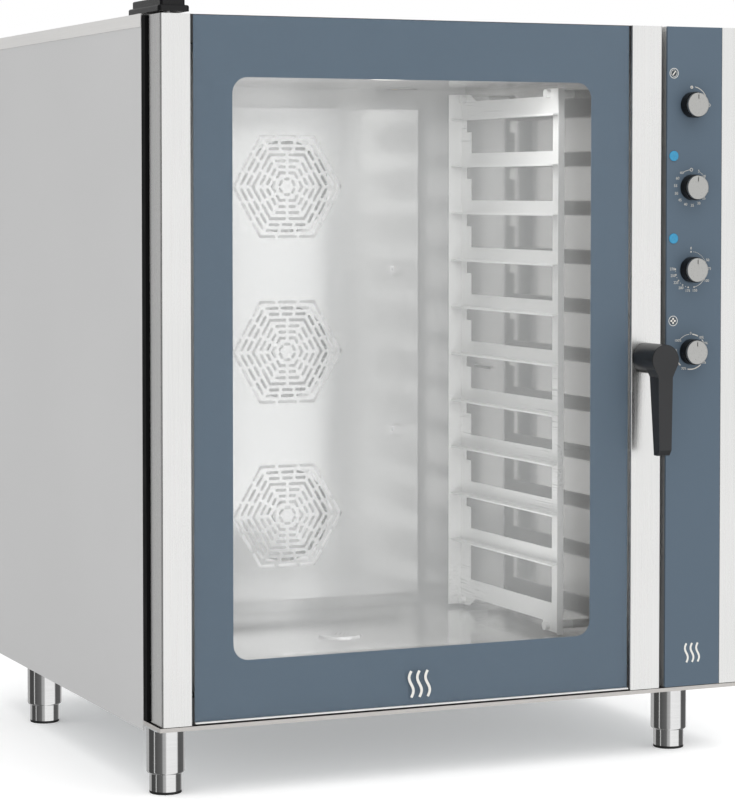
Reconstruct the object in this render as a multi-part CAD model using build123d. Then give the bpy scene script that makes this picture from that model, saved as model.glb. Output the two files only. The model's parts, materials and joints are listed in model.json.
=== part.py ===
from build123d import *
import os
from math import cos, pi, sin, sqrt

# Ten-tray combi steamer oven: millimetres, +Z up, +X to the right seen from the front, -Y to the front.
# The origin is on the floor, under the middle of the whole oven.

# ---- driving dimensions -------------------------------------------------------------------------
SHEET = 1.0                 # outer panels and cavity sheets
BODY_HALF_WIDTH = 490.0     # outside of the side panels
BODY_FRONT = -344.0         # front edge of the side panels
BODY_REAR = 462.0           # outside of the rear panel
SIDE_BOTTOM = 91.0
BASE_TOP = 100.0
BODY_TOP = 1145.0
COVER_LIP = 19.0            # side lip of the top cover
FITTING_END = 482.0         # rear end of the water and drain fittings

DOOR_FRONT = -418.0
DOOR_BACK = -367.0
DOOR_LEFT = -486.0
DOOR_RIGHT = 339.0
DOOR_BOTTOM = 107.0
DOOR_TOP = 1142.0
LEFT_STRIP = 46.3           # width of the steel strip on the hinge side
RIGHT_STRIP = 53.5          # width of the steel strip on the handle side
WINDOW = (-374.0, 217.0, 197.0, 1052.0)     # left, right, bottom, top of the clear window
WINDOW_RADIUS = 24.0
HINGE_X = -468.0
HINGE_Y = -396.0
HINGE_PIN_RADIUS = 6.0
RUNNING = 0.05              # radial clearance of a running fit
CAP_LEFT = -490.0           # footprint of the upper hinge cover
CAP_RIGHT = -442.0
CAP_FRONT = DOOR_FRONT - 3
CAP_REAR = -283.0

FASCIA_LEFT = 348.2
FASCIA_RIGHT = 445.7
KNOB_X = 391.8
KNOB_HEIGHTS = (1020.4, 891.6, 762.8, 634.0)
KNOB_NAMES = ("damper_knob", "timer_knob", "thermostat_knob", "steam_knob")
LAMP_X = 360.1
LAMP_RISE = 49.0            # a pilot lamp sits this far above its knob's axis

CAVITY_MIDDLE = -72.0
CAVITY_HALF = 356.0
CAVITY_FLOOR = 170.0
CAVITY_CEILING = 1060.0
CAVITY_REAR = 175.5
INSULATION = 30.0
BAFFLE_FRONT = 122.0
BAFFLE = (-311.0, 169.0, 198.0, 1024.0)
BULKHEAD_FRONT = 208.5
BULKHEAD = 1.5              # sheet that carries the fan motors
LAMP_PLACE = (-72.0, -300.0)
LAMP_SOCKET = 24.0
LAMP_LENS = 3.0             # the lens hangs this far below the ceiling
PROBE_X = 262.0
PROBE_Z = 580.0
PROBE_RADIUS = 3.0

RACK_OFFSET = 314.0         # rack sheet from the cavity's middle plane
RACK_FRONT = -275.0
RACK_REAR = 102.0
RACK_BOTTOM = 176.0
RACK_TOP = 1050.0
LEDGE_FIRST = 289.0
LEDGE_PITCH = 80.0
LEDGE_COUNT = 10
LEDGE_WIDTH = 20.0
LEDGE_HEM = 2.5             # height of the hem along a ledge's free edge

FAN_HEIGHTS = (893.0, 616.0, 340.0)
FAN_RADIUS = 100.0
SHAFT_RADIUS = 6.0
MOTOR_FRONT = BULKHEAD_FRONT + BULKHEAD

HANDLE_X = 311.0
HANDLE_Z = 626.4
HANDLE_FRONT = -482.0
HANDLE_HUB = 23.6
LEVER_TIP = 478.4           # height of the lever's lower end
SPINDLE_RADIUS = 5.0
SPINDLE_FRONT = DOOR_FRONT - 40
LATCH_FRONT = DOOR_BACK + 1
LATCH_DEPTH = 9.0

LEGS = ((-460.6, -358.0), (389.0, -358.0), (-460.6, 245.0), (389.0, 245.0))
LEG_RADIUS = 28.2
LEG_BOTTOM = 30.0
LEG_TOP = 98.0
FLUE_X = 150.0
FLUE_Y = 148.0
FLUE_RADIUS = 30.0
FLAP_Z = 1120.0
DRAIN_Y = -101.0
DRAIN_Z = 121.0
DRAIN_RADIUS = 16.0
PIPE_X = -2.0               # water manifold, beside the motors
PIPE_RADIUS = 4.0
TRUNK_RADIUS = 5.0
INLET_Z = 985.0
INLET_RADIUS = 13.2
GLAND_X = 420.0
GLAND_Z = 170.0

os.makedirs("parts", exist_ok=True)


# ---- helpers ------------------------------------------------------------------------------------
def block(x0, x1, y0, y1, z0, z1):
    return Pos((x0 + x1) / 2, (y0 + y1) / 2, (z0 + z1) / 2) * Box(x1 - x0, y1 - y0, z1 - z0)


def rod_x(y, z, radius, x0, x1):
    return Pos((x0 + x1) / 2, y, z) * Rot(0, 90, 0) * Cylinder(radius, x1 - x0)


def rod_y(x, z, radius, y0, y1):
    return Pos(x, (y0 + y1) / 2, z) * Rot(90, 0, 0) * Cylinder(radius, y1 - y0)


def rod_z(x, y, radius, z0, z1):
    return Pos(x, y, (z0 + z1) / 2) * Cylinder(radius, z1 - z0)


def slot_plate(x0, x1, y0, y1, z0, z1):
    """A flat bar with round ends, long along Y."""
    radius = (x1 - x0) / 2
    middle = (x0 + x1) / 2
    bar = block(x0, x1, y0 + radius, y1 - radius, z0, z1)
    return bar + rod_z(middle, y0 + radius, radius, z0, z1) + rod_z(middle, y1 - radius, radius, z0, z1)


def rounded_plate(x0, x1, y0, y1, z0, z1, radius):
    """A flat block with rounded upright corners."""
    return fillet(block(x0, x1, y0, y1, z0, z1).edges().filter_by(Axis.Z), radius)


def mirror_x(x):
    """The place across the cavity's middle plane."""
    return 2 * CAVITY_MIDDLE - x


def between(a, b):
    return (min(a, b), max(a, b))


def save(name, *solids):
    shape = solids[0] if len(solids) == 1 else Compound(children=list(solids))
    export_step(shape, f"parts/{name}.step")


# ---- outer panels -------------------------------------------------------------------------------
def side_panel(side):
    outer = side * BODY_HALF_WIDTH
    inner = side * (BODY_HALF_WIDTH - SHEET)
    fold = side * (BODY_HALF_WIDTH - 20)
    top = BODY_TOP - SHEET
    rear = BODY_REAR - SHEET
    wall = block(*between(outer, inner), BODY_FRONT, rear, SIDE_BOTTOM, top)
    front_fold = block(*between(inner, fold), BODY_FRONT + SHEET, BODY_FRONT + 2 * SHEET, BASE_TOP, top)
    rear_fold = block(*between(inner, fold), rear - SHEET, rear, BASE_TOP, top)
    return wall + front_fold + rear_fold


def louvres(x, y_count, y_first, z_first, rows):
    """Cooling slots of the electrical compartment, cut through a side panel."""
    cuts = []
    for row in range(rows):
        for column in range(y_count):
            y = y_first + column * 60
            z = z_first + row * 14
            cuts.append(block(x - 4, x + 4, y, y + 45, z, z + 5))
    return cuts


def screw_places():
    return [(side * 480.0, z) for side in (-1, 1) for z in (150.0, 600.0, 1090.0)]


left = side_panel(-1)
right = side_panel(1)
right -= louvres(BODY_HALF_WIDTH - SHEET / 2, 5, 60, 160, 8)
for x, z in screw_places():
    hole = rod_y(x, z, 2.5, BODY_REAR - 10, BODY_REAR + 2)
    left -= hole
    right -= hole
save("left_side_panel", left)
save("right_side_panel", right)


def top_cover():
    side = BODY_HALF_WIDTH + SHEET
    sheet = block(-side, side, BODY_FRONT, BODY_REAR, BODY_TOP - SHEET, BODY_TOP)
    lips = [
        block(*between(s * side, s * BODY_HALF_WIDTH), BODY_FRONT, BODY_REAR,
              BODY_TOP - COVER_LIP, BODY_TOP - SHEET)
        for s in (-1, 1)
    ]
    return sheet + lips - rod_z(FLUE_X, FLUE_Y, FLUE_RADIUS + 1, BODY_TOP - 5, BODY_TOP + 5)


save("top_cover", top_cover())


def rear_panel():
    half = BODY_HALF_WIDTH
    panel = block(-half, half, BODY_REAR - SHEET, BODY_REAR, BASE_TOP, BODY_TOP - SHEET)
    for x, z in screw_places():
        panel -= rod_y(x, z, 2.5, BODY_REAR - 5, BODY_REAR + 5)
    panel -= rod_y(PIPE_X, INLET_Z, INLET_RADIUS + 1, BODY_REAR - 5, BODY_REAR + 5)
    panel -= rod_y(CAVITY_MIDDLE, DRAIN_Z, DRAIN_RADIUS + 1, BODY_REAR - 5, BODY_REAR + 5)
    panel -= rod_y(GLAND_X, GLAND_Z, 12.2, BODY_REAR - 5, BODY_REAR + 5)
    vent_left, vent_low = -330, 620
    vent_length, vent_height = 80, 6
    vents = []
    for row in range(6):
        for column in range(5):
            x = vent_left + column * 110
            z = vent_low + row * 16
            vents.append(block(x, x + vent_length, BODY_REAR - 5, BODY_REAR + 5, z, z + vent_height))
    return panel - vents


save("rear_panel", rear_panel())
BASE_FRONT = -400.0         # the base runs forward under the drip tray, to carry the front legs
save("base_panel", block(-BODY_HALF_WIDTH + SHEET, BODY_HALF_WIDTH - SHEET, BASE_FRONT, BODY_REAR - SHEET,
                         LEG_TOP, BASE_TOP))


def front_frame():
    """Face plate round the cavity mouth, with the folded box that carries the control fascia."""
    half = BODY_HALF_WIDTH - SHEET
    cavity_left = CAVITY_MIDDLE - CAVITY_HALF
    cavity_right = CAVITY_MIDDLE + CAVITY_HALF
    back = BODY_FRONT + SHEET
    plate = block(-half, half, BODY_FRONT, back, BASE_TOP, BODY_TOP - SHEET)
    plate -= block(cavity_left, cavity_right, BODY_FRONT - 1, back + 1, CAVITY_FLOOR, CAVITY_CEILING)
    behind_fascia = DOOR_FRONT + 4
    cheek = block(FASCIA_LEFT, FASCIA_LEFT + SHEET, behind_fascia, BODY_FRONT, DOOR_BOTTOM, DOOR_TOP)
    roof = block(FASCIA_LEFT, FASCIA_RIGHT, behind_fascia, BODY_FRONT, DOOR_TOP - SHEET, DOOR_TOP)
    floor = block(FASCIA_LEFT, FASCIA_RIGHT, behind_fascia, BODY_FRONT, DOOR_BOTTOM, DOOR_BOTTOM + SHEET)
    return plate + cheek + roof + floor


save("front_frame", front_frame())


def drip_tray():
    side = BODY_HALF_WIDTH
    top = DOOR_BOTTOM - 1
    tray = block(-side, side, DOOR_FRONT, BODY_FRONT, BASE_TOP, top)
    return tray - block(-side + SHEET, side - SHEET, DOOR_FRONT + SHEET, BODY_FRONT + 1,
                        BASE_TOP + SHEET, top + 1)


save("drip_tray", drip_tray())

# ---- cavity -------------------------------------------------------------------------------------
CAVITY_LEFT = CAVITY_MIDDLE - CAVITY_HALF
CAVITY_RIGHT = CAVITY_MIDDLE + CAVITY_HALF
CAVITY_FRONT = BODY_FRONT + SHEET
LINER_REAR = CAVITY_REAR + SHEET


def through_rear_wall(radius_shaft, radius_pipe, y0, y1):
    """Holes for the three fan shafts and the three water branches."""
    cuts = []
    for z in FAN_HEIGHTS:
        cuts.append(rod_y(CAVITY_MIDDLE, z, radius_shaft, y0, y1))
        cuts.append(rod_y(PIPE_X, z, radius_pipe, y0, y1))
    return cuts


ceiling = block(CAVITY_LEFT - SHEET, CAVITY_RIGHT + SHEET, CAVITY_FRONT, LINER_REAR,
                CAVITY_CEILING, CAVITY_CEILING + SHEET)
ceiling -= rod_z(FLUE_X, FLUE_Y, FLUE_RADIUS - SHEET, CAVITY_CEILING - 2, CAVITY_CEILING + 5)
ceiling -= rod_z(*LAMP_PLACE, LAMP_SOCKET, CAVITY_CEILING - 2, CAVITY_CEILING + 5)
save("cavity_ceiling", ceiling)
floor = block(CAVITY_LEFT - SHEET, CAVITY_RIGHT + SHEET, CAVITY_FRONT, LINER_REAR,
              CAVITY_FLOOR - SHEET, CAVITY_FLOOR)
floor -= rod_z(CAVITY_MIDDLE, DRAIN_Y, DRAIN_RADIUS - SHEET, CAVITY_FLOOR - 5, CAVITY_FLOOR + 2)
save("cavity_floor", floor)
save("cavity_side_walls",
     block(CAVITY_LEFT - SHEET, CAVITY_LEFT, CAVITY_FRONT, LINER_REAR, CAVITY_FLOOR, CAVITY_CEILING),
     block(CAVITY_RIGHT, CAVITY_RIGHT + SHEET, CAVITY_FRONT, LINER_REAR, CAVITY_FLOOR, CAVITY_CEILING))
rear_wall = block(CAVITY_LEFT, CAVITY_RIGHT, CAVITY_REAR, LINER_REAR, CAVITY_FLOOR, CAVITY_CEILING)
rear_wall -= through_rear_wall(SHAFT_RADIUS + 2, PIPE_RADIUS + RUNNING, CAVITY_REAR - 2, LINER_REAR + 2)
rear_wall -= rod_y(PROBE_X, PROBE_Z, PROBE_RADIUS + RUNNING, CAVITY_REAR - 2, LINER_REAR + 2)
save("cavity_rear_wall", rear_wall)


def insulation():
    """Mineral-wool jacket round the liner, open at the front."""
    outer = block(CAVITY_LEFT - SHEET - INSULATION, CAVITY_RIGHT + SHEET + INSULATION, CAVITY_FRONT,
                  LINER_REAR + INSULATION, CAVITY_FLOOR - SHEET - INSULATION,
                  CAVITY_CEILING + SHEET + INSULATION)
    jacket = outer - block(CAVITY_LEFT - SHEET, CAVITY_RIGHT + SHEET, CAVITY_FRONT - 1, LINER_REAR,
                           CAVITY_FLOOR - SHEET, CAVITY_CEILING + SHEET)
    jacket -= through_rear_wall(20, PIPE_RADIUS + 1, LINER_REAR - 1, LINER_REAR + INSULATION + 1)
    jacket -= rod_y(PROBE_X, PROBE_Z, 9, LINER_REAR - 1, LINER_REAR + INSULATION + 1)
    jacket -= rod_z(FLUE_X, FLUE_Y, FLUE_RADIUS + 1, CAVITY_CEILING, CAVITY_CEILING + 2 * INSULATION)
    jacket -= rod_z(*LAMP_PLACE, 32, CAVITY_CEILING, CAVITY_CEILING + 2 * INSULATION)
    jacket -= rod_z(CAVITY_MIDDLE, DRAIN_Y, DRAIN_RADIUS + 1, CAVITY_FLOOR - 2 * INSULATION, CAVITY_FLOOR)
    return jacket


save("insulation", insulation())
bulkhead = block(-470, 320, BULKHEAD_FRONT, MOTOR_FRONT, BASE_TOP, BODY_TOP - SHEET)
bulkhead -= through_rear_wall(20, PIPE_RADIUS + 1, BULKHEAD_FRONT - 1, MOTOR_FRONT + 1)
bulkhead -= rod_y(PROBE_X, PROBE_Z, 9, BULKHEAD_FRONT - 1, MOTOR_FRONT + 1)
bulkhead -= rod_y(CAVITY_MIDDLE, DRAIN_Z, DRAIN_RADIUS + 1, BULKHEAD_FRONT - 1, MOTOR_FRONT + 1)
save("motor_bulkhead", bulkhead)

# ---- fan baffle with hexagonal intake grilles ----------------------------------------------------
SLOT_WIDTH = 5.2
SLOT_GAP = 4.6
RING_FIRST = 13.0
RING_PITCH = 10.1
# One entry per ring, from the middle: straight slots per side, and whether slots wrap the corners.
GRILLE_RINGS = ((1, False), (0, True), (2, False), (2, False), (0, True), (3, False), (3, False),
                (1, True))
BAFFLE_SCREWS = ((127.0, 753.0), (mirror_x(127.0), 753.0), (127.0, 478.0), (mirror_x(127.0), 478.0))
SCREW_SHANK = 3.2


def slot_wire(points, y):
    """Closed outline of a round-ended slot that follows two or three points in a plane of constant Y."""
    half = SLOT_WIDTH / 2
    points = [Vector(px, pz) for px, pz in points]
    ways = [(b - a).normalized() for a, b in zip(points, points[1:])]
    normals = [Vector(-way.Y, way.X) for way in ways]
    lefts = [points[0] + normals[0] * half]
    rights = [points[0] - normals[0] * half]
    for place, first, second in zip(points[1:-1], normals, normals[1:]):
        mitre = (first + second).normalized()
        reach = half / mitre.dot(first)
        lefts.append(place + mitre * reach)
        rights.append(place - mitre * reach)
    lefts.append(points[-1] + normals[-1] * half)
    rights.append(points[-1] - normals[-1] * half)
    far = points[-1] + ways[-1] * half
    near = points[0] - ways[0] * half

    def lift(p):
        return (p.X, y, p.Y)

    edges = [Line(lift(a), lift(b)) for a, b in zip(lefts, lefts[1:])]
    edges.append(ThreePointArc(lift(lefts[-1]), lift(far), lift(rights[-1])))
    rights.reverse()
    edges += [Line(lift(a), lift(b)) for a, b in zip(rights, rights[1:])]
    edges.append(ThreePointArc(lift(rights[-1]), lift(near), lift(lefts[0])))
    return Wire(edges)


def grille_slots(height):
    """Slot centre lines of one grille, as lists of points in X and Z."""
    slots = []
    inset = (SLOT_WIDTH + SLOT_GAP) / 2
    for ring, (straight, wraps) in enumerate(GRILLE_RINGS):
        radius = (RING_FIRST + ring * RING_PITCH) / cos(pi / 6)
        corners = [
            Vector(CAVITY_MIDDLE + radius * cos(k * pi / 3), height + radius * sin(k * pi / 3))
            for k in range(6)
        ]
        for k in range(6):
            start, end = corners[k], corners[(k + 1) % 6]
            way = (end - start).normalized()
            length = (end - start).length
            if straight == 1 and wraps:
                middle = (start + end) / 2
                slots.append([middle - way * length * 0.15, middle + way * length * 0.15])
            elif straight:
                margin = 1.6 if straight == 1 else 3.2
                step = (length - 2 * margin + SLOT_GAP) / straight
                for n in range(straight):
                    a = margin + n * step + SLOT_WIDTH / 2
                    b = a + step - SLOT_GAP - SLOT_WIDTH
                    slots.append([start + way * a, start + way * max(b, a + 0.6)])
            if wraps:
                before = corners[k - 1]
                back = (before - start).normalized()
                arm = length / 2 - inset if straight == 0 else length * 0.35 - inset * 2
                slots.append([start + back * arm, start, start + way * arm])
    return [[(p.X, p.Y) for p in slot] for slot in slots]


def fan_baffle():
    x0, x1, z0, z1 = BAFFLE
    y = BAFFLE_FRONT
    corners = [(x0, y, z0), (x1, y, z0), (x1, y, z1), (x0, y, z1)]
    outline = Wire([Line(a, b) for a, b in zip(corners, corners[1:] + corners[:1])])
    holes = [slot_wire(slot, y) for z in FAN_HEIGHTS for slot in grille_slots(z)]
    sheet = extrude(Face(outline, holes), amount=SHEET, dir=(0, 1, 0))
    for x, z in BAFFLE_SCREWS:
        sheet -= rod_y(x, z, SCREW_SHANK + RUNNING, y - 1, y + 3)
    folds = [
        block(x0, x0 + SHEET, y + SHEET, y + 20, z0, z1),
        block(x1 - SHEET, x1, y + SHEET, y + 20, z0, z1),
        block(x0 + SHEET, x1 - SHEET, y + SHEET, y + 20, z0, z0 + SHEET),
        block(x0 + SHEET, x1 - SHEET, y + SHEET, y + 20, z1 - SHEET, z1),
    ]
    return sheet + folds


save("fan_baffle", fan_baffle())


def baffle_screw(x, z):
    """Knurled thumb screw in front of the baffle, on a stand-off pillar from the rear wall."""
    pillar = rod_y(x, z, 7, BAFFLE_FRONT + SHEET, CAVITY_REAR)
    shank = rod_y(x, z, SCREW_SHANK, BAFFLE_FRONT - 2, BAFFLE_FRONT + SHEET)
    head = rod_y(x, z, 8, BAFFLE_FRONT - 8, BAFFLE_FRONT)
    return pillar + shank + head


save("baffle_screws", *[baffle_screw(x, z) for x, z in BAFFLE_SCREWS])

# ---- tray racks ---------------------------------------------------------------------------------
RACK_STUDS = ((RACK_FRONT + 50, RACK_TOP - 8), (RACK_REAR - 14, RACK_TOP - 8),
              (RACK_FRONT + 50, RACK_BOTTOM + 8), (RACK_REAR - 14, RACK_BOTTOM + 8))
STUD_RADIUS = 4.0


def rack(side):
    """Side rack of folded sheet: ten hemmed ledges, a wide rear flange and a narrow front flange."""
    face = CAVITY_MIDDLE + side * RACK_OFFSET
    back = face + side * SHEET

    def bar(reach, y0, y1, z0, z1):
        return block(*between(face, face - side * reach), y0, y1, z0, z1)

    plate = block(*between(face, back), RACK_FRONT, RACK_REAR, RACK_BOTTOM, RACK_TOP)
    cuts = []
    x0, x1 = between(face - 3, back + 3)
    window_front = RACK_FRONT + 38
    window_rear = RACK_REAR - 20
    for k in range(LEDGE_COUNT):
        z = LEDGE_FIRST + k * LEDGE_PITCH
        if k:
            low = z - LEDGE_PITCH + 21
            cuts.append(block(x0, x1, window_front, window_rear - 18, low, z - 3))
            cuts.append(block(x0, x1, window_rear - 19, window_rear, low + 36, z - 3))
    low = RACK_BOTTOM + 46
    cuts.append(block(x0, x1, window_front, window_rear - 18, low, LEDGE_FIRST - 3))
    trim_rear = RACK_REAR - 33
    trim_front = RACK_FRONT + 60
    for edge, depth in ((RACK_TOP, -12), (RACK_BOTTOM, 15)):
        clear = -depth / 6
        corners = [(trim_front, edge + clear), (trim_front, edge), (trim_front + 10, edge + depth),
                   (trim_rear - 25, edge + depth), (trim_rear, edge), (trim_rear, edge + clear)]
        outline = Polyline(*[(x0, y, z) for y, z in corners], close=True)
        cuts.append(extrude(Face(Wire(outline.edges())), amount=x1 - x0, dir=(1, 0, 0)))
    for y, z in RACK_STUDS:
        cuts.append(rod_x(y, z, STUD_RADIUS + 0.2, x0, x1))
    plate -= cuts
    ledges = [
        bar(LEDGE_WIDTH, RACK_FRONT + SHEET, RACK_REAR - SHEET, LEDGE_FIRST + k * LEDGE_PITCH - SHEET,
            LEDGE_FIRST + k * LEDGE_PITCH)
        for k in range(LEDGE_COUNT)
    ]
    hem_near = face - side * (LEDGE_WIDTH - SHEET)
    hem_far = face - side * LEDGE_WIDTH
    hems = []
    for k in range(LEDGE_COUNT):
        under = LEDGE_FIRST + k * LEDGE_PITCH - SHEET
        hems.append(block(*between(hem_near, hem_far), RACK_FRONT + SHEET, RACK_REAR - SHEET,
                          under + SHEET - LEDGE_HEM, under))
    rear_flange = bar(24, RACK_REAR - SHEET, RACK_REAR, RACK_BOTTOM, RACK_TOP)
    front_flange = bar(10, RACK_FRONT, RACK_FRONT + SHEET, RACK_BOTTOM, RACK_TOP)
    return plate + ledges + hems + rear_flange + front_flange


def rack_stud(side, y, z):
    face = CAVITY_MIDDLE + side * RACK_OFFSET
    wall = CAVITY_MIDDLE + side * CAVITY_HALF
    back = face + side * SHEET
    spacer = rod_x(y, z, STUD_RADIUS + 3, *between(back, wall))
    pin = rod_x(y, z, STUD_RADIUS, *between(face - side * 8, back))
    head = rod_x(y, z, STUD_RADIUS + 3, *between(face - side * 8, face))
    return spacer + pin + head


save("rack_left", rack(-1))
save("rack_right", rack(1))
save("rack_studs", *[rack_stud(side, y, z) for side in (-1, 1) for y, z in RACK_STUDS])

# ---- fans, motors, heaters ----------------------------------------------------------------------
FAN_BACK = 166.0
FAN_FRONT = 130.0
BLADES = 24
MOTOR_RADIUS = 60.0


def fan_impeller(height):
    """Radial impeller on its own shaft: back plate, front ring, hub and raked blades."""
    x = CAVITY_MIDDLE
    back = rod_y(x, height, FAN_RADIUS, FAN_BACK, FAN_BACK + SHEET)
    ring = rod_y(x, height, FAN_RADIUS, FAN_FRONT, FAN_FRONT + SHEET)
    ring -= rod_y(x, height, FAN_RADIUS - 22, FAN_FRONT - 1, FAN_FRONT + SHEET + 1)
    hub = rod_y(x, height, 17, FAN_BACK - 20, FAN_BACK + 6)
    blade = Pos(FAN_RADIUS - 14, 0, 0) * Rot(0, 28, 0) * Box(24, FAN_BACK - FAN_FRONT - SHEET, SHEET)
    middle = (FAN_BACK + FAN_FRONT + SHEET) / 2
    blades = [Pos(x, middle, height) * Rot(0, k * 360 / BLADES, 0) * blade for k in range(BLADES)]
    shaft = rod_y(x, height, SHAFT_RADIUS, FAN_BACK - 26, MOTOR_FRONT + 90)
    return [hub + back + ring + blades - rod_y(x, height, SHAFT_RADIUS, 0, 400), shaft]


def fan_motor(height):
    x = CAVITY_MIDDLE
    flange = block(x - 60, x + 60, MOTOR_FRONT, MOTOR_FRONT + 8, height - 60, height + 60)
    can = rod_y(x, height, MOTOR_RADIUS - 3, MOTOR_FRONT + 8, MOTOR_FRONT + 130)
    ribs = [
        rod_y(x, height, MOTOR_RADIUS, MOTOR_FRONT + 20 + 12 * k, MOTOR_FRONT + 26 + 12 * k)
        for k in range(8)
    ]
    cap = rod_y(x, height, MOTOR_RADIUS - 8, MOTOR_FRONT + 130, MOTOR_FRONT + 145)
    box = block(x - 25, x + 25, MOTOR_FRONT + 40, MOTOR_FRONT + 100, height + 50, height + 84)
    bore = rod_y(x, height, SHAFT_RADIUS + RUNNING, MOTOR_FRONT - 1, MOTOR_FRONT + 92)
    winding_space = rod_y(x, height, MOTOR_RADIUS - 12, MOTOR_FRONT + 96, MOTOR_FRONT + 126)
    return flange + can + ribs + cap + box - bore - winding_space


def heating_element(height):
    """Two turns of sheathed tube round a fan, a link between them, and tails on a wall flange."""
    x = CAVITY_MIDDLE
    ring_radius = FAN_RADIUS + 18
    tube = 4.2
    first, second = 140.0, 156.0
    reach = tube + 0.1
    turns = [Pos(x, y, height) * Rot(90, 0, 0) * Torus(ring_radius, tube) for y in (first, second)]
    link = rod_y(x - ring_radius, height, tube, first + reach, second - reach)
    drop = sqrt(ring_radius**2 - 14**2)
    flange = block(x - 30, x + 30, CAVITY_REAR - 3, CAVITY_REAR, height - ring_radius - 12,
                   height - ring_radius + 12)
    for side in (-14, 14):
        flange += rod_y(x + side, height - drop, tube - 0.8, second + reach, CAVITY_REAR - 3)
    return turns + [link, flange]


for number, height in enumerate(FAN_HEIGHTS, 1):
    save(f"fan_{number}", *fan_impeller(height))
save("fan_motors", *[fan_motor(z) for z in FAN_HEIGHTS])
save("heating_elements", *[piece for z in FAN_HEIGHTS for piece in heating_element(z)])

# ---- water, steam, drain and exhaust -------------------------------------------------------------
MANIFOLD_Y = 400.0


def steam_pipe():
    """Water manifold with a branch to the hub of each fan, where the water turns into steam."""
    trunk = rod_z(PIPE_X, MANIFOLD_Y, TRUNK_RADIUS, FAN_HEIGHTS[-1] - 10, INLET_Z + 10)
    branches = [rod_y(PIPE_X, z, PIPE_RADIUS, CAVITY_REAR - 4, MANIFOLD_Y) for z in FAN_HEIGHTS]
    feed = rod_y(PIPE_X, INLET_Z, PIPE_RADIUS, MANIFOLD_Y, 415)
    return trunk + branches + feed


def water_valve():
    """Solenoid valve behind the rear panel, with its three-quarter-inch hose thread outside."""
    body = block(PIPE_X - 20, PIPE_X + 20, 415, 450, INLET_Z - 20, INLET_Z + 20)
    coil = rod_z(PIPE_X, 432, 17, INLET_Z + 20, INLET_Z + 62)
    neck = rod_y(PIPE_X, INLET_Z, INLET_RADIUS, 450, FITTING_END)
    lock_nut = rod_y(PIPE_X, INLET_Z, INLET_RADIUS + 5, BODY_REAR, BODY_REAR + 3)
    bore = rod_y(PIPE_X, INLET_Z, 9, 455, FITTING_END + 1)
    return body + coil + neck + lock_nut - bore


save("steam_pipe", steam_pipe())
save("water_valve", water_valve())


def drain_strainer():
    disc = rod_z(CAVITY_MIDDLE, DRAIN_Y, 36, CAVITY_FLOOR, CAVITY_FLOOR + 2.5)
    holes = [rod_z(CAVITY_MIDDLE, DRAIN_Y, 3, CAVITY_FLOOR - 1, CAVITY_FLOOR + 4)]
    for radius, count in ((8, 6), (13.5, 12)):
        for k in range(count):
            angle = 2 * pi * k / count
            holes.append(rod_z(CAVITY_MIDDLE + radius * cos(angle), DRAIN_Y + radius * sin(angle), 2.4,
                               CAVITY_FLOOR - 1, CAVITY_FLOOR + 4))
    return disc - holes


def drain_pipe():
    """Bent stainless waste pipe from the cavity floor to the rear panel."""
    bore = DRAIN_RADIUS - SHEET
    x = CAVITY_MIDDLE
    drop = rod_z(x, DRAIN_Y, DRAIN_RADIUS, DRAIN_Z, CAVITY_FLOOR - SHEET)
    run = rod_y(x, DRAIN_Z, DRAIN_RADIUS, DRAIN_Y, FITTING_END)
    collar = rod_y(x, DRAIN_Z, DRAIN_RADIUS + 4, BODY_REAR, BODY_REAR + 3)
    knee = Pos(x, DRAIN_Y, DRAIN_Z) * Sphere(DRAIN_RADIUS)
    hollow = rod_z(x, DRAIN_Y, bore, DRAIN_Z, CAVITY_FLOOR)
    hollow += rod_y(x, DRAIN_Z, bore, DRAIN_Y, FITTING_END + 1)
    hollow += Pos(x, DRAIN_Y, DRAIN_Z) * Sphere(bore)
    return drop + run + knee + collar - hollow


save("drain_strainer", drain_strainer())
save("drain_pipe", drain_pipe())


def exhaust_flue():
    top = BODY_TOP + 30
    tube = rod_z(FLUE_X, FLUE_Y, FLUE_RADIUS, CAVITY_CEILING + SHEET, top)
    collar = rod_z(FLUE_X, FLUE_Y, FLUE_RADIUS + 12, BODY_TOP, BODY_TOP + 2)
    tube = tube + collar - rod_z(FLUE_X, FLUE_Y, FLUE_RADIUS - SHEET, CAVITY_CEILING, top + 1)
    return tube - rod_x(FLUE_Y, FLAP_Z, 3 + RUNNING, FLUE_X - 40, FLUE_X + 40)


def damper_flap():
    disc = rod_z(FLUE_X, FLUE_Y, FLUE_RADIUS - SHEET - 0.6, FLAP_Z - 0.75, FLAP_Z + 0.75)
    axle = rod_x(FLUE_Y, FLAP_Z, 3, FLUE_X - 34, FLUE_X + 44)
    crank = block(FLUE_X + 40, FLUE_X + 44, FLUE_Y - 5, FLUE_Y + 19, FLAP_Z - 5, FLAP_Z + 5)
    return disc + axle + crank


save("exhaust_flue", exhaust_flue())
save("damper_flap", damper_flap())


def cavity_lamp():
    x, y = LAMP_PLACE
    glass = rod_z(x, y, 30, CAVITY_CEILING - LAMP_LENS, CAVITY_CEILING)
    glass = fillet(glass.edges().group_by(Axis.Z)[0], 2)
    socket = rod_z(x, y, LAMP_SOCKET, CAVITY_CEILING, CAVITY_CEILING + 26)
    ring = rod_z(x, y, 31, CAVITY_CEILING + SHEET, CAVITY_CEILING + 6)
    return glass + socket + ring


def temperature_probe():
    rod = rod_y(PROBE_X, PROBE_Z, PROBE_RADIUS, CAVITY_REAR - 60, MOTOR_FRONT + 20)
    nut = rod_y(PROBE_X, PROBE_Z, 8, LINER_REAR, LINER_REAR + 8)
    return rod + nut


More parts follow.
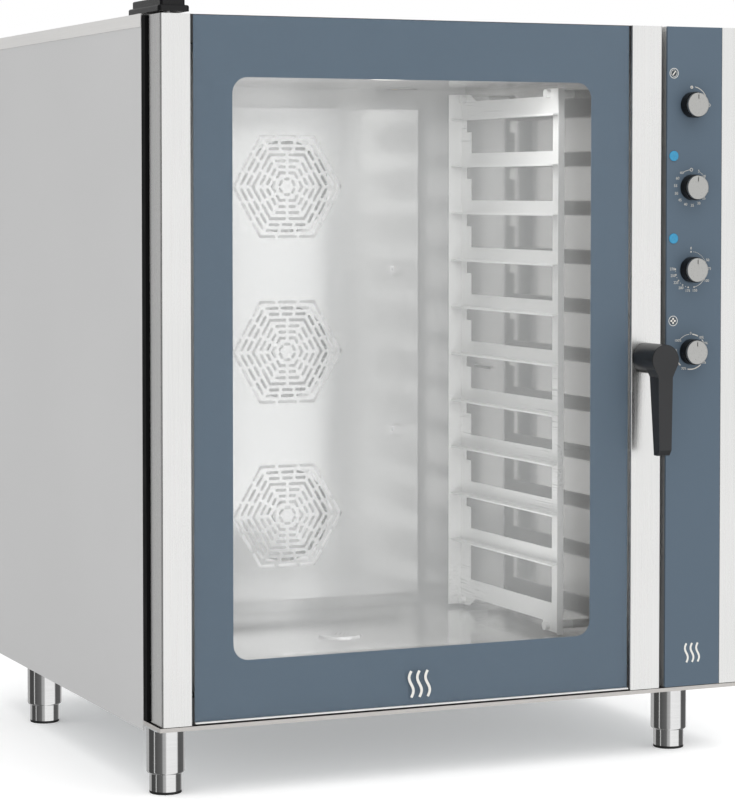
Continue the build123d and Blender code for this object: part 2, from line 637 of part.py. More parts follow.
save("cavity_lamp", cavity_lamp())
save("temperature_probe", temperature_probe())
gland = rod_y(GLAND_X, GLAND_Z, 16, BODY_REAR, BODY_REAR + 8)
gland += rod_y(GLAND_X, GLAND_Z, 12, BODY_REAR - 14, FITTING_END - 2)
save("cable_gland", gland - rod_y(GLAND_X, GLAND_Z, 7, BODY_REAR - 15, FITTING_END))
save("panel_screws", *[
    rod_y(x, z, 4.6, BODY_REAR, BODY_REAR + 2.6) + rod_y(x, z, 2.4, BODY_REAR - 6, BODY_REAR)
    for x, z in screw_places()
])

# ---- legs and adjustable feet --------------------------------------------------------------------
STEM_RADIUS = 8.0
FOOT_RADIUS = 24.0
PAD_HEIGHT = 4.0


def leg_tube(x, y):
    tube = rod_z(x, y, LEG_RADIUS, LEG_BOTTOM, LEG_TOP)
    tube = fillet(tube.edges().group_by(Axis.Z)[0], 3)
    tube -= rod_z(x, y, LEG_RADIUS - 2, LEG_BOTTOM - 1, LEG_TOP - 30)
    return tube - rod_z(x, y, STEM_RADIUS + RUNNING, LEG_TOP - 31, LEG_TOP - 5)


def foot(x, y):
    """Screwed foot: steel shoe and stem above a rubber pad."""
    shoe = rod_z(x, y, FOOT_RADIUS, PAD_HEIGHT, LEG_BOTTOM + 8) + rod_z(x, y, STEM_RADIUS, LEG_BOTTOM,
                                                                        LEG_TOP - 10)
    pad = rod_z(x, y, FOOT_RADIUS, 0, PAD_HEIGHT)
    pad = chamfer(pad.edges().group_by(Axis.Z)[0], 1)
    return [shoe, pad]


save("leg_tubes", *[leg_tube(x, y) for x, y in LEGS])
for number, (x, y) in enumerate(LEGS, 1):
    save(f"foot_{number}", *foot(x, y))

# ---- controls -----------------------------------------------------------------------------------
FASCIA_BACK = DOOR_FRONT + 4
KNOB_BACK = DOOR_FRONT - 1
KNOB_BODY = 16.0            # depth of the black body, and of the cap in front of it
KNOB_CAP = 5.0
KNOB_SHAFT = 3.0


def control_fascia():
    plate = block(FASCIA_LEFT, FASCIA_RIGHT, DOOR_FRONT, FASCIA_BACK, DOOR_BOTTOM, DOOR_TOP)
    for z in KNOB_HEIGHTS:
        plate -= rod_y(KNOB_X, z, 5, DOOR_FRONT - 1, FASCIA_BACK + 1)
    for z in KNOB_HEIGHTS[1:3]:
        plate -= rod_y(LAMP_X, z + LAMP_RISE, 6.5, DOOR_FRONT - 1, FASCIA_BACK + 1)
    return plate


def strip_profile(x0, x1, back, wall):
    """Hollow steel upright with softened front corners."""
    post = block(x0, x1, DOOR_FRONT, back, DOOR_BOTTOM, DOOR_TOP)
    post = fillet(post.edges().filter_by(Axis.Z).group_by(Axis.Y)[0], 2)
    return post - block(x0 + wall, x1 - wall, DOOR_FRONT + wall, back - wall, DOOR_BOTTOM + 6,
                        DOOR_TOP - 6)


def knob(z):
    """Black knob body with its spindle, and the metal cap on its front."""
    cap_back = KNOB_BACK - KNOB_BODY
    cap_front = cap_back - KNOB_CAP
    body = rod_y(KNOB_X, z, 20, cap_back, KNOB_BACK)
    body = fillet(body.edges().group_by(Axis.Y)[0], 1)
    body += rod_y(KNOB_X, z, KNOB_SHAFT, KNOB_BACK, FASCIA_BACK + 20)
    cap = rod_y(KNOB_X, z, 18.8, cap_front, cap_back)
    cap = fillet(cap.edges().group_by(Axis.Y)[0], 1.2)
    cap -= block(KNOB_X - 0.7, KNOB_X + 0.7, cap_front - 1, cap_front + 0.6, z + 8, z + 20)
    return [body, cap]


def regulator(z):
    case = block(KNOB_X - 23, KNOB_X + 23, FASCIA_BACK, FASCIA_BACK + 42, z - 23, z + 23)
    terminals = block(KNOB_X - 15, KNOB_X + 15, FASCIA_BACK + 42, FASCIA_BACK + 48, z - 18, z + 18)
    return case + terminals - rod_y(KNOB_X, z, KNOB_SHAFT + RUNNING, FASCIA_BACK - 1, FASCIA_BACK + 24)


def pilot_lamp(z):
    lens = rod_y(LAMP_X, z, 8, DOOR_FRONT - 1.5, DOOR_FRONT)
    lens = fillet(lens.edges().group_by(Axis.Y)[0], 0.8)
    return lens + rod_y(LAMP_X, z, 6.4, DOOR_FRONT, FASCIA_BACK + 12)


def electrical_plate():
    """Mounting plate in the side compartment, with contactors and a terminal block."""
    left, face = 335.0, 336.5
    plate = block(left, face, -180, 180, BASE_TOP, 900)

    def case(depth, y0, y1, z0, z1):
        wall = 2.0
        shell = block(face, face + depth, y0, y1, z0, z1)
        return shell - block(face + wall, face + depth - wall, y0 + wall, y1 - wall, z0 + wall, z1 - wall)

    contactors = [case(63, y, y + 48, 640, 720) for y in (-140, -70, 0, 70)]
    terminals = case(35, -120, 120, 300, 345)
    relay = case(43, -60, 20, 460, 540)
    return plate + contactors + terminals + relay


save("control_fascia", control_fascia())
save("control_profile", strip_profile(FASCIA_RIGHT, BODY_HALF_WIDTH, BODY_FRONT, SHEET))
for name, z in zip(KNOB_NAMES, KNOB_HEIGHTS):
    save(name, *knob(z))
save("regulators", *[regulator(z) for z in KNOB_HEIGHTS])
save("pilot_lamps", *[pilot_lamp(z + LAMP_RISE) for z in KNOB_HEIGHTS[1:3]])
save("electrical_plate", electrical_plate())

# ---- door ---------------------------------------------------------------------------------------
PANE_LEFT = DOOR_LEFT + 51.4
PANE_RIGHT = DOOR_RIGHT - 56.0
PANE_BOTTOM = DOOR_BOTTOM + 4.0
PANE_TOP = DOOR_TOP - 1.0
PANE_FRONT = DOOR_FRONT + 0.5
PANE = 5.0
ENAMEL = 0.6
RAIL_LEFT = DOOR_LEFT + LEFT_STRIP
RAIL_RIGHT = DOOR_RIGHT - RIGHT_STRIP
RAIL_FRONT = PANE_FRONT + PANE + ENAMEL
RAIL_HEIGHT = 40.0


def rounded_window(y0, y1):
    x0, x1, z0, z1 = WINDOW
    hole = block(x0, x1, y0, y1, z0, z1)
    return fillet(hole.edges().filter_by(Axis.Y), WINDOW_RADIUS)


def door_left_profile():
    """Hinge-side upright, with a shadow groove down its outer side behind the front face."""
    post = strip_profile(DOOR_LEFT, RAIL_LEFT, DOOR_BACK, 2)
    post -= block(DOOR_LEFT - 1, DOOR_LEFT + 1, DOOR_FRONT + 3, DOOR_FRONT + 4.6, DOOR_BOTTOM - 1,
                  DOOR_TOP + 1)
    bore = HINGE_PIN_RADIUS + RUNNING
    return post - rod_z(HINGE_X, HINGE_Y, bore, DOOR_BOTTOM - 1, DOOR_TOP + 1)


def door_right_profile():
    post = strip_profile(RAIL_RIGHT, DOOR_RIGHT, DOOR_BACK, 2)
    return post - rod_y(HANDLE_X, HANDLE_Z, SPINDLE_RADIUS + RUNNING, DOOR_FRONT - 1, DOOR_BACK + 1)


def door_rail(z0, z1):
    """Box rail between the uprights."""
    rail = block(RAIL_LEFT, RAIL_RIGHT, RAIL_FRONT, DOOR_BACK, z0, z1)
    rail -= block(RAIL_LEFT + 1, RAIL_RIGHT - 1, RAIL_FRONT + SHEET, DOOR_BACK - SHEET, z0 + SHEET,
                  z1 - SHEET)
    return rail


def pane(y0, y1):
    return block(PANE_LEFT, PANE_RIGHT, y0, y1, PANE_BOTTOM, PANE_TOP)


REVEAL = 26.0               # the inner frame stands back from the window by this much


def door_inner_frame():
    x0, x1, z0, z1 = WINDOW
    frame = block(RAIL_LEFT, RAIL_RIGHT, DOOR_BACK - 2, DOOR_BACK, DOOR_BOTTOM + RAIL_HEIGHT,
                  DOOR_TOP - RAIL_HEIGHT)
    return frame - block(x0 - REVEAL, x1 + REVEAL, DOOR_BACK - 3, DOOR_BACK + 1, z0 - REVEAL,
                         z1 + REVEAL)


def inner_pane():
    x0, x1, z0, z1 = WINDOW
    margin = REVEAL + 8
    return block(x0 - margin, x1 + margin, DOOR_BACK - 7, DOOR_BACK - 2, z0 - margin, z1 + margin)


save("door_left_profile", door_left_profile())
save("door_right_profile", door_right_profile())
sill = block(PANE_LEFT, PANE_RIGHT, PANE_FRONT, RAIL_FRONT, PANE_BOTTOM - 2.2, PANE_BOTTOM - 0.2)
save("door_rails", door_rail(DOOR_BOTTOM, DOOR_BOTTOM + RAIL_HEIGHT) + sill,
     door_rail(DOOR_TOP - RAIL_HEIGHT, DOOR_TOP))
save("door_outer_glass", pane(PANE_FRONT, PANE_FRONT + PANE))
save("door_enamel", pane(PANE_FRONT + PANE, RAIL_FRONT)
     - rounded_window(PANE_FRONT + PANE - 1, RAIL_FRONT + 1))
save("door_inner_glass", inner_pane())
save("door_inner_frame", door_inner_frame())


def door_gasket():
    """Rubber seal round the cavity mouth, and the black filler strip behind the hinge-side upright."""
    gap = 2.0
    width = 12.0
    x0, x1 = CAVITY_LEFT - gap, CAVITY_RIGHT + gap
    z0, z1 = CAVITY_FLOOR - gap, CAVITY_CEILING + gap
    outer = block(x0 - width, x1 + width, DOOR_BACK + 0.2, BODY_FRONT, z0 - width, z1 + width)
    outer = fillet(outer.edges().group_by(Axis.Y)[0], 4)
    ring = outer - block(x0, x1, DOOR_BACK - 1, BODY_FRONT + 1, z0, z1)
    filler = block(-BODY_HALF_WIDTH, HINGE_X + 8, BODY_FRONT - 16.5, BODY_FRONT, DOOR_BOTTOM, DOOR_TOP)
    return [ring, filler]


save("door_gasket", *door_gasket())

# ---- hinges, latch and handle --------------------------------------------------------------------
def hinge_brackets():
    """Upper plate on the roof and lower plate in the drip tray, each with its fixed pin."""
    upper = slot_plate(CAP_LEFT + 4, CAP_RIGHT - 4, CAP_FRONT + 4, CAP_REAR - 4, BODY_TOP, BODY_TOP + 4)
    upper += rod_z(HINGE_X, HINGE_Y, HINGE_PIN_RADIUS, DOOR_TOP - 24, BODY_TOP)
    lower_base = BASE_TOP + SHEET
    lower = block(CAP_LEFT + 4, CAP_RIGHT - 4, DOOR_FRONT + 4, BODY_FRONT, lower_base, lower_base + 3)
    lower += rod_z(HINGE_X, HINGE_Y, HINGE_PIN_RADIUS, lower_base + 3, DOOR_BOTTOM + 24)
    lower += rod_z(HINGE_X, HINGE_Y, 11, lower_base + 3, DOOR_BOTTOM - 0.1)
    return [upper, lower]


def hinge_cap():
    """Moulded cover of two steps over the upper hinge plate."""
    wall, step, inset = 3.5, 9.0, 5.0
    lower = rounded_plate(CAP_LEFT, CAP_RIGHT, CAP_FRONT, CAP_REAR, BODY_TOP, BODY_TOP + step, 6)
    lower = fillet(lower.edges().group_by(Axis.Z)[-1], 3)
    upper = rounded_plate(CAP_LEFT + inset, CAP_RIGHT - inset, CAP_FRONT + inset, CAP_REAR - inset,
                          BODY_TOP + step - 1, BODY_TOP + 20, 5)
    upper = fillet(upper.edges().group_by(Axis.Z)[-1], 2.5)
    hollow = rounded_plate(CAP_LEFT + wall, CAP_RIGHT - wall, CAP_FRONT + wall, CAP_REAR - wall,
                           BODY_TOP - 1, BODY_TOP + 7, 3)
    return lower + upper - hollow


save("hinge_brackets", *hinge_brackets())
save("hinge_cap", hinge_cap())


def latch_spindle():
    """Spindle of the handle, with the latch tongue on its inner end."""
    spindle = rod_y(HANDLE_X, HANDLE_Z, SPINDLE_RADIUS, SPINDLE_FRONT, LATCH_FRONT)
    hub = rod_y(HANDLE_X, HANDLE_Z, 10, LATCH_FRONT, LATCH_FRONT + LATCH_DEPTH)
    tongue = block(HANDLE_X, HANDLE_X + 22, LATCH_FRONT, LATCH_FRONT + LATCH_DEPTH, HANDLE_Z - 5,
                   HANDLE_Z + 5)
    return spindle + hub + tongue


def latch_keeper():
    """Angle bracket on the front frame, above and beside the latch tongue."""
    foot_plate = block(HANDLE_X + 11, HANDLE_X + 34, BODY_FRONT - 3, BODY_FRONT, HANDLE_Z - 30,
                       HANDLE_Z + 30)
    roof = block(HANDLE_X + 11, HANDLE_X + 34, LATCH_FRONT, BODY_FRONT - 3, HANDLE_Z + 6, HANDLE_Z + 10)
    cheek = block(HANDLE_X + 24, HANDLE_X + 27, LATCH_FRONT, BODY_FRONT - 3, HANDLE_Z - 12,
                  HANDLE_Z + 6)
    return foot_plate + roof + cheek


def door_handle():
    """Lever that hangs from its round hub: wide at the shoulders, thinner and narrower towards its tip."""
    back = DOOR_FRONT - 1
    hub = rod_y(HANDLE_X, HANDLE_Z, HANDLE_HUB, HANDLE_FRONT, back)
    hub = fillet(hub.edges().group_by(Axis.Y)[0], 1.5)
    half_top, half_tip = 12.5, 10.6
    thick_top, thick_tip = 28.0, 17.5
    shoulder, neck = HANDLE_Z - 12, HANDLE_Z - 27
    right_side = [(half_tip, LEVER_TIP), (half_top, neck), (HANDLE_HUB - 4, shoulder)]
    left_side = [(-x, z) for x, z in reversed(right_side)]
    front_view = Polyline(*[(HANDLE_X + x, HANDLE_FRONT, z) for x, z in right_side + left_side], close=True)
    lever = extrude(Face(Wire(front_view.edges())), amount=thick_top + 1, dir=(0, 1, 0))
    bevel_height, bevel_depth = 8.5, 6.0
    side_view = Polyline(*[(HANDLE_X - 30, HANDLE_FRONT + y, z) for y, z in (
        (0, HANDLE_Z), (0, LEVER_TIP + bevel_height), (bevel_depth, LEVER_TIP), (thick_tip, LEVER_TIP),
        (thick_top, neck), (thick_top, HANDLE_Z))], close=True)
    lever &= extrude(Face(Wire(side_view.edges())), amount=60, dir=(1, 0, 0))
    hole = rod_y(HANDLE_X, HANDLE_Z, SPINDLE_RADIUS + RUNNING, SPINDLE_FRONT - RUNNING, DOOR_FRONT)
    return hub + lever - hole


save("latch_spindle", latch_spindle())
save("latch_keeper", latch_keeper())
save("door_handle", door_handle())
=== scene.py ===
import json
from math import cos, pi, radians, sin

import bmesh
import bpy
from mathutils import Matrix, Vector


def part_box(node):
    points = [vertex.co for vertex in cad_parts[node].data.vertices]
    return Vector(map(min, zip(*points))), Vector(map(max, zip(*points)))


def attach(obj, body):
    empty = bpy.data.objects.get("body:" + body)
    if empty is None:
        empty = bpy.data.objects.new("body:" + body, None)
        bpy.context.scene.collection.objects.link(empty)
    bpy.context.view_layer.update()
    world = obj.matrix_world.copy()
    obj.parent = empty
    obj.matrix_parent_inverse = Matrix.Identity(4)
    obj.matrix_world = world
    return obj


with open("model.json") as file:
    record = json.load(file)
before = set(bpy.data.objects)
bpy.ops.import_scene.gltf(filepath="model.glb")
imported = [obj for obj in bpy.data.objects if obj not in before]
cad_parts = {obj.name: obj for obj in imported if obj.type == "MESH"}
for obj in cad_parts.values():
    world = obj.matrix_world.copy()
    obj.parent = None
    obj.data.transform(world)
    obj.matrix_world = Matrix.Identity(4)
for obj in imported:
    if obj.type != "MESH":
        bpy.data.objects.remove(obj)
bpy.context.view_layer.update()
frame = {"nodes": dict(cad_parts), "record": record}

SCENE = bpy.context.scene
MM = 0.001

# ---- camera -------------------------------------------------------------------------------------
# The camera stands to the left of the oven, at about three quarters of its height.
CAMERA_PLACE = (-1.8313, -4.2270, 0.8872)
CAMERA_YAW = radians(-23.67)
CAMERA_TILT = radians(90 - 2.33)
CAMERA_LENS = 125.83
CAMERA_SHIFT = -0.12
CAMERA_REACH = 60


def make_camera():
    data = bpy.data.cameras.new("camera")
    data.lens = CAMERA_LENS
    data.shift_y = CAMERA_SHIFT
    data.clip_end = CAMERA_REACH
    camera = bpy.data.objects.new("camera", data)
    camera.location = CAMERA_PLACE
    camera.rotation_euler = (CAMERA_TILT, 0, CAMERA_YAW)
    SCENE.collection.objects.link(camera)
    SCENE.camera = camera


# ---- node helpers -------------------------------------------------------------------------------
def srgb(red, green, blue):
    """Linear colour of an 8-bit sRGB colour."""
    def linear(value):
        value /= 255
        return value / 12.92 if value <= 0.04045 else ((value + 0.055) / 1.055) ** 2.4
    return (linear(red), linear(green), linear(blue), 1.0)


class Nodes:
    """A short way to build a node tree."""

    def __init__(self, tree):
        self.tree = tree
        tree.nodes.clear()

    def add(self, kind, inputs=None, **settings):
        node = self.tree.nodes.new(kind)
        for name, value in settings.items():
            setattr(node, name, value)
        for name, value in (inputs or {}).items():
            if isinstance(value, bpy.types.NodeSocket):
                self.tree.links.new(value, node.inputs[name])
            else:
                node.inputs[name].default_value = value
        return node

    def math(self, operation, first, second):
        return self.add("ShaderNodeMath", {0: first, 1: second}, operation=operation).outputs[0]

    def noise(self, scale, stretch=(1, 1, 1), detail=3.0, roughness=0.5):
        place = self.add("ShaderNodeTexCoord").outputs["Object"]
        mapping = self.add("ShaderNodeMapping", {"Vector": place, "Scale": stretch})
        return self.add("ShaderNodeTexNoise", {"Vector": mapping.outputs[0], "Scale": scale,
                                               "Detail": detail, "Roughness": roughness}).outputs["Fac"]

    def spread(self, value, low, high):
        """Maps a noise value, which is near one half, on to a range."""
        node = self.add("ShaderNodeMapRange", {"Value": value, "From Min": 0.3, "From Max": 0.7,
                                               "To Min": low, "To Max": high})
        return node.outputs[0]

    def tint(self, colour, value):
        """The colour times a grey value."""
        node = self.add("ShaderNodeMix", {"Factor": 1.0}, data_type="RGBA", blend_type="MULTIPLY")
        if isinstance(colour, bpy.types.NodeSocket):
            self.tree.links.new(colour, node.inputs["A"])
        else:
            node.inputs["A"].default_value = colour
        self.tree.links.new(value, node.inputs["B"])
        return node.outputs["Result"]

    def pick(self, factor, first, second):
        """One colour where the factor is 0, and the other where it is 1."""
        node = self.add("ShaderNodeMix", {"Factor": factor}, data_type="RGBA")
        for name, value in (("A", first), ("B", second)):
            if isinstance(value, bpy.types.NodeSocket):
                self.tree.links.new(value, node.inputs[name])
            else:
                node.inputs[name].default_value = value
        return node.outputs["Result"]

    def bump(self, height, distance, strength):
        return self.add("ShaderNodeBump", {"Height": height, "Distance": distance,
                                           "Strength": strength}).outputs[0]

    def axis(self, letter):
        """One object coordinate, in metres."""
        place = self.add("ShaderNodeTexCoord").outputs["Object"]
        return self.add("ShaderNodeSeparateXYZ", {0: place}).outputs[letter]


def material(name):
    made = bpy.data.materials.new(name)
    made.use_nodes = True
    return made, Nodes(made.node_tree)


def finish_material(nodes, **sockets):
    """Adds the Principled shader with these sockets, spelt with _ for a space, and the output."""
    inputs = {name.replace("_", " "): value for name, value in sockets.items()}
    shader = nodes.add("ShaderNodeBsdfPrincipled", inputs)
    nodes.add("ShaderNodeOutputMaterial", {"Surface": shader.outputs[0]})


# ---- materials ----------------------------------------------------------------------------------
def brushed_steel(name, tone, roughness, grain="Z", depth=0.00002, metal=1.0):
    """Stainless sheet with fine brushing along one axis, and soft cloudy wear in its gloss.

    depth is that of the brushing, in metres; metal is the share of light that it mirrors as metal does.
    """
    made, nodes = material(name)
    stretch = {"X": (6, 420, 420), "Y": (420, 6, 420), "Z": (420, 420, 6)}[grain]
    lines = nodes.noise(1.0, stretch, detail=4.0, roughness=0.6)
    cloud = nodes.noise(3.2, detail=4.0)
    shade = nodes.math("MULTIPLY", nodes.spread(lines, 0.97, 1.03), nodes.spread(cloud, 0.97, 1.03))
    wear = nodes.spread(cloud, roughness - 0.03, roughness + 0.04)
    gloss = nodes.math("ADD", nodes.spread(lines, -0.03, 0.04), wear)
    finish_material(nodes, Base_Color=nodes.tint(tone, shade), Metallic=metal, Roughness=gloss,
                    Normal=nodes.bump(lines, depth, 0.25))
    return made


def satin_paint(name, colour, roughness=0.42):
    """Coated sheet: a fine even texture, with faint clouds of colour and gloss."""
    made, nodes = material(name)
    peel = nodes.noise(900, detail=2.0)
    cloud = nodes.noise(2.4, detail=5.0)
    shade = nodes.math("MULTIPLY", nodes.spread(cloud, 0.975, 1.02), nodes.spread(peel, 0.99, 1.01))
    finish_material(nodes, Base_Color=nodes.tint(colour, shade), Metallic=0.0,
                    Roughness=nodes.spread(cloud, roughness - 0.05, roughness + 0.06),
                    Normal=nodes.bump(peel, 0.00003, 0.2))
    return made


def enamel(back):
    """Blue-grey print behind glass, with a very slight mottle, and a pale back behind y = back."""
    made, nodes = material("blue_grey_enamel")
    cloud = nodes.noise(6.0, detail=4.0)
    grain = nodes.noise(1400, detail=2.0)
    shade = nodes.math("MULTIPLY", nodes.spread(cloud, 0.985, 1.015), nodes.spread(grain, 0.98, 1.02))
    behind = nodes.math("GREATER_THAN", nodes.axis("Y"), back)
    colour = nodes.pick(behind, srgb(86, 100, 113), (0.42, 0.42, 0.42, 1))
    finish_material(nodes, Base_Color=nodes.tint(colour, shade),
                    Roughness=nodes.spread(cloud, 0.34, 0.44), Specular_IOR_Level=0.15,
                    Normal=nodes.bump(grain, 0.00001, 0.15))
    return made


def window_glass(name, veil, shine):
    """Clear pane: mostly see-through, with a faint pale veil and a few wipe marks in its gloss."""
    made, nodes = material(name)
    smear = nodes.noise(5.0, (1.0, 1.0, 0.35), detail=6.0)
    finish_material(nodes, Base_Color=nodes.tint((0.93, 0.95, 0.95, 1), nodes.spread(smear, 0.97, 1.03)),
                    Roughness=nodes.spread(smear, 0.02, 0.07), IOR=1.5, Specular_IOR_Level=shine,
                    Alpha=nodes.spread(smear, veil * 0.9, veil * 1.1))
    return made


def moulded_plastic(name, colour, roughness, texture=0.00004, scale=1500, shine=0.5):
    """Moulded plastic: fine spark-eroded texture, with clouds in its tone and gloss from handling."""
    made, nodes = material(name)
    grain = nodes.noise(scale, detail=3.0)
    cloud = nodes.noise(18, detail=4.0)
    finish_material(nodes, Base_Color=nodes.tint(colour, nodes.spread(cloud, 0.85, 1.18)),
                    Roughness=nodes.math("ADD", nodes.spread(cloud, roughness - 0.07, roughness + 0.05),
                                         nodes.spread(grain, -0.03, 0.03)),
                    Specular_IOR_Level=shine, Normal=nodes.bump(grain, texture, 0.5))
    return made


def rails_painted_shade(front):
    """Rails in near black, which is painted shade for the gaps beside the pane, with the bright sill in front
    of the plane y = front.
    """
    made, nodes = material("rails_painted_shade")
    sill = nodes.math("LESS_THAN", nodes.axis("Y"), front - 0.1 * MM)
    cloud = nodes.noise(12, detail=4.0)
    bright = nodes.tint((0.7, 0.7, 0.69, 1), nodes.spread(cloud, 0.95, 1.04))
    # The near black of the rails is painted shade that darkens the gaps beside the pane; the sill keeps its
    # bright steel colour.
    colour = nodes.pick(sill, (0.01, 0.01, 0.011, 1), bright)
    finish_material(nodes, Base_Color=colour, Roughness=nodes.spread(cloud, 0.35, 0.45))
    return made


def rubber(name):
    """Matt black rubber with pale dust in patches."""
    made, nodes = material(name)
    grain = nodes.noise(700, detail=4.0)
    dust = nodes.noise(14, detail=6.0)
    colour = nodes.pick(nodes.spread(dust, 0.0, 0.35), (0.004, 0.004, 0.0045, 1), (0.014, 0.014, 0.0145, 1))
    finish_material(nodes, Base_Color=colour, Roughness=nodes.spread(dust, 0.55, 0.8),
                    Specular_IOR_Level=0.12, Normal=nodes.bump(grain, 0.00008, 0.5))
    return made


def chrome(name, pad_top=None):
    """Polished leg steel with drawing marks round it, and a black pad below pad_top."""
    made, nodes = material(name)
    rings = nodes.noise(1.0, (30, 30, 900), detail=3.0)
    cloud = nodes.noise(25, detail=4.0)
    tone = nodes.tint((0.83, 0.83, 0.83, 1), nodes.spread(rings, 0.97, 1.03))
    gloss = nodes.math("ADD", nodes.spread(rings, -0.02, 0.03), nodes.spread(cloud, 0.07, 0.13))
    metal = 1.0
    if pad_top is not None:
        metal = nodes.math("GREATER_THAN", nodes.axis("Z"), pad_top)
        tone = nodes.pick(metal, (0.012, 0.012, 0.012, 1), tone)
        gloss = nodes.math("ADD", gloss, nodes.math("MULTIPLY", nodes.math("SUBTRACT", 1.0, metal), 0.5))
    finish_material(nodes, Base_Color=tone, Metallic=metal, Roughness=gloss,
                    Normal=nodes.bump(rings, 0.00001, 0.2))
    return made


def knob_finish(front):
    """Black plastic skirt, and a spun metal cap in front of the plane y = front."""
    made, nodes = material("knob_black")
    cap = nodes.math("LESS_THAN", nodes.axis("Y"), front)
    grain = nodes.noise(1500, detail=3.0)
    lines = nodes.noise(1.0, (500, 40, 500), detail=4.0)
    black = nodes.tint((0.006, 0.006, 0.0065, 1), nodes.spread(grain, 0.8, 1.2))
    silver = nodes.tint((0.52, 0.52, 0.505, 1), nodes.spread(lines, 0.94, 1.04))
    gloss = nodes.math("ADD", nodes.spread(lines, 0.27, 0.38), nodes.spread(grain, -0.02, 0.02))
    finish_material(nodes, Base_Color=nodes.pick(cap, black, silver), Metallic=cap, Roughness=gloss,
                    Specular_IOR_Level=0.2, Normal=nodes.bump(lines, 0.00002, 0.3))
    return made


def mineral_wool():
    """Yellow-brown matted fibres."""
    made, nodes = material("mineral_wool")
    fibre = nodes.noise(220, (1, 1, 3), detail=8.0, roughness=0.7)
    colour = nodes.pick(nodes.spread(fibre, 0, 1), (0.36, 0.27, 0.11, 1), (0.62, 0.52, 0.27, 1))
    finish_material(nodes, Base_Color=colour, Roughness=nodes.spread(fibre, 0.85, 0.98),
                    Normal=nodes.bump(fibre, 0.002, 0.8))
    return made


def heat_tinted():
    """Element sheath with the bronze and blue tints of heat."""
    made, nodes = material("element_sheath")
    tint = nodes.noise(30, detail=5.0)
    colour = nodes.pick(nodes.spread(tint, 0, 1), (0.16, 0.11, 0.07, 1), (0.10, 0.10, 0.12, 1))
    finish_material(nodes, Base_Color=colour, Metallic=0.8, Roughness=nodes.spread(tint, 0.35, 0.55),
                    Normal=nodes.bump(tint, 0.0001, 0.2))
    return made


def lamp_lens(name, colour, glow):
    """Coloured lens that glows, with faint clouds in its colour and gloss."""
    made, nodes = material(name)
    cloud = nodes.noise(260, detail=2.0)
    shade = nodes.tint(colour, nodes.spread(cloud, 0.9, 1.1))
    finish_material(nodes, Base_Color=shade, Roughness=nodes.spread(cloud, 0.12, 0.2),
                    Emission_Color=colour, Emission_Strength=glow)
    return made


def print_ink(name, colour):
    """Screen-printed ink with a fine speckle."""
    made, nodes = material(name)
    grain = nodes.noise(2500, detail=2.0)
    finish_material(nodes, Base_Color=nodes.tint(colour, nodes.spread(grain, 0.94, 1.05)),
                    Roughness=nodes.spread(grain, 0.45, 0.6))
    return made


def cast_motor():
    """Rough dark casting of the fan motors."""
    made, nodes = material("motor_alloy")
    grain = nodes.noise(500, detail=5.0)
    finish_material(nodes, Base_Color=nodes.tint((0.12, 0.13, 0.14, 1), nodes.spread(grain, 0.8, 1.2)),
                    Metallic=0.6, Roughness=nodes.spread(grain, 0.5, 0.65),
                    Normal=nodes.bump(grain, 0.0003, 0.5))
    return made


KNOB_CAP_DEPTH = 4.9 * MM
FOOT_PAD_TOP = 4.1 * MM


def slot_finishes():
    """One material per slot of the record."""
    knob_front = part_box("timer_knob")[0].y
    enamel_front, enamel_back = (corner.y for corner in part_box("door_enamel"))
    return {
        "painted_side": satin_paint("painted_side", srgb(189, 189, 189)),
        "cover_steel": brushed_steel("cover_steel", (0.80, 0.79, 0.775, 1), 0.34, "Y", metal=0.4),
        "galvanised": satin_paint("galvanised", (0.46, 0.48, 0.49, 1), 0.5),
        "cavity_steel": brushed_steel("cavity_steel", (0.80, 0.80, 0.795, 1), 0.17, "Z", 0.000001, metal=0.7),
        "trim_steel": brushed_steel("trim_steel", (0.86, 0.86, 0.85, 1), 0.25, "Z", 0.000004),
        # The rail_black slot gets painted shade: near-black rails that darken the gaps beside the pane.
        "rail_black": rails_painted_shade(enamel_back),
        "rack_steel": brushed_steel("rack_steel", (0.66, 0.66, 0.65, 1), 0.3, "Y", 0.000004, metal=0.35),
        "mineral_wool": mineral_wool(),
        "fan_steel": brushed_steel("fan_steel", (0.74, 0.74, 0.74, 1), 0.36, "X", metal=0.5),
        "motor_alloy": cast_motor(),
        "element_sheath": heat_tinted(),
        "pipe_steel": brushed_steel("pipe_steel", (0.66, 0.66, 0.65, 1), 0.3, "Y"),
        "valve_brass": brushed_steel("valve_brass", (0.72, 0.52, 0.24, 1), 0.3, "Y"),
        "lamp_glass": lamp_lens("lamp_glass", (0.9, 0.88, 0.8, 1), 1.0),
        "black_plastic": moulded_plastic("black_plastic", (0.006, 0.006, 0.0065, 1), 0.2, 0.00001, 900,
                                         shine=0.3),
        "screw_steel": chrome("screw_steel"),
        "leg_chrome": chrome("leg_chrome"),
        "foot_steel": chrome("foot_steel", FOOT_PAD_TOP),
        "blue_grey_enamel": enamel((enamel_front + enamel_back) / 2),
        "knob_black": knob_finish(knob_front + KNOB_CAP_DEPTH),
        "regulator_plastic": moulded_plastic("regulator_plastic", (0.55, 0.53, 0.45, 1), 0.5),
        "pilot_blue": lamp_lens("pilot_blue", srgb(48, 133, 172), 0.05),
        "clear_glass": window_glass("clear_glass", 0.006, 0.2),
        "black_rubber": rubber("black_rubber"),
        "bracket_steel": brushed_steel("bracket_steel", (0.60, 0.60, 0.60, 1), 0.35, "X"),
        "handle_black": moulded_plastic("handle_black", (0.016, 0.0165, 0.018, 1), 0.38),
    }


def own_finishes():
    """Nodes that look different from the rest of their slot."""
    return {
        "door_inner_glass": window_glass("inner_glass", 0.12, 0.3),
        "drip_tray": brushed_steel("tray_steel", (0.52, 0.50, 0.48, 1), 0.4, "X", metal=0.4),
        "cavity_side_walls": brushed_steel("wall_steel", (0.60, 0.59, 0.575, 1), 0.1, "Z", 0.0000015,
                                           metal=0.92),
    }


